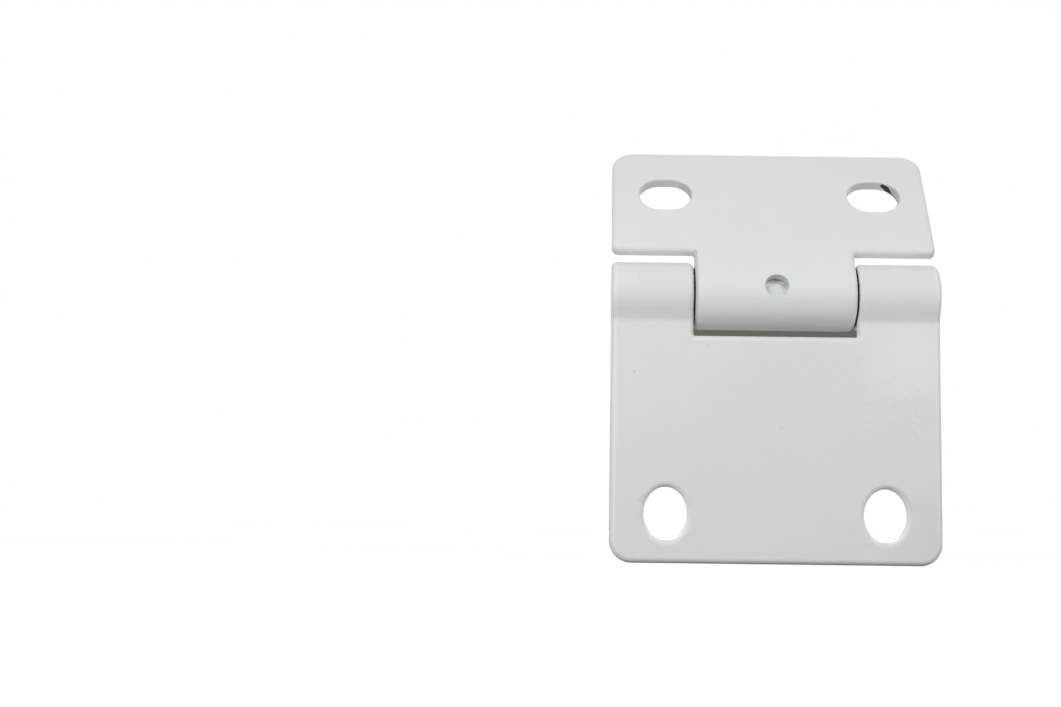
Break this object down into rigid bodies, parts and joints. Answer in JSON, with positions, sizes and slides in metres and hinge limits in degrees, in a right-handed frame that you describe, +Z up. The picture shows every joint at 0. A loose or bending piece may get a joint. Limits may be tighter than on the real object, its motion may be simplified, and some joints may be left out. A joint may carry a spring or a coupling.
{
  "type": "cooler lid hinge",
  "caption": "Painted sheet-metal hinge: a wide leaf with a shallow joggle and outer knuckles, a T-shaped leaf with a rolled tongue, and a plain pin.",
  "frame": {"origin": "on the back face of the body leaf, half way between its two screw holes", "axes": "+X along the pin, to the right seen from the front; +Y out of the back face of the body leaf, into what it is screwed to; +Z up along the body leaf, towards the pin"},
  "size_m": [0.048, 0.0165, 0.063],
  "materials": {
    "leaf_paint": "white, satin",
    "pin_paint": "white, satin"
  },
  "bodies": {
    "body_side": {"body_leaf": "leaf_paint", "hinge_pin": "pin_paint"},
    "lid_side": {"lid_leaf": "leaf_paint"}
  },
  "joints": [
    {"name": "lid_turn", "type": "hinge", "parent": "body_side", "child": "lid_side", "pos_m": [0, 0.00175, 0.03205], "axis": [1, 0, 0], "range_deg": [-155, 134]}
  ]
}
